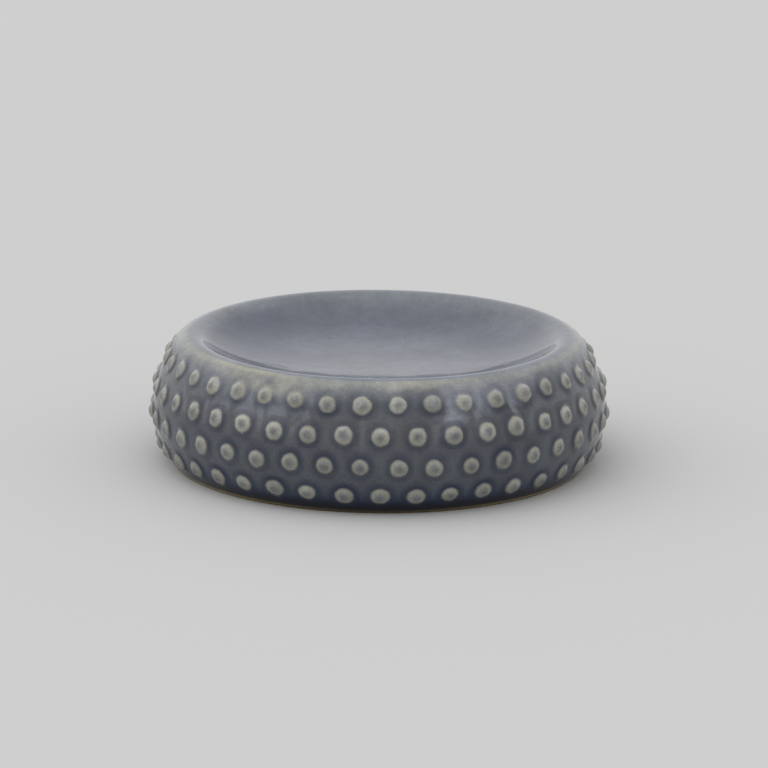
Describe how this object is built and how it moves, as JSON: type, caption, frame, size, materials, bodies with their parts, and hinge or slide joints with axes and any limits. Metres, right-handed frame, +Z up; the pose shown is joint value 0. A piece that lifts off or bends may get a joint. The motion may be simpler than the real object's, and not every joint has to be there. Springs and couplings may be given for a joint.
{
  "type": "soap dish",
  "caption": "Low round glazed soap dish with a rolled rim, a shallow bowl, a bulging wall set with staggered hobnails, a foot ring and non-slip pads.",
  "frame": {"origin": "middle of the dish on the plane that it stands on", "axes": "+Z up along the dish's axis; -Y is the side that the picture shows, with a hobnail of the second and lowest rows in its middle"},
  "size_m": [0.1126, 0.1126, 0.0313],
  "materials": {
    "glazed_stoneware": "gloss",
    "pad_rubber": "matt"
  },
  "bodies": {
    "root": {"dish_body": "glazed_stoneware", "non_slip_pad_1": "pad_rubber", "non_slip_pad_2": "pad_rubber", "non_slip_pad_3": "pad_rubber", "non_slip_pad_4": "pad_rubber"}
  },
  "joints": []
}
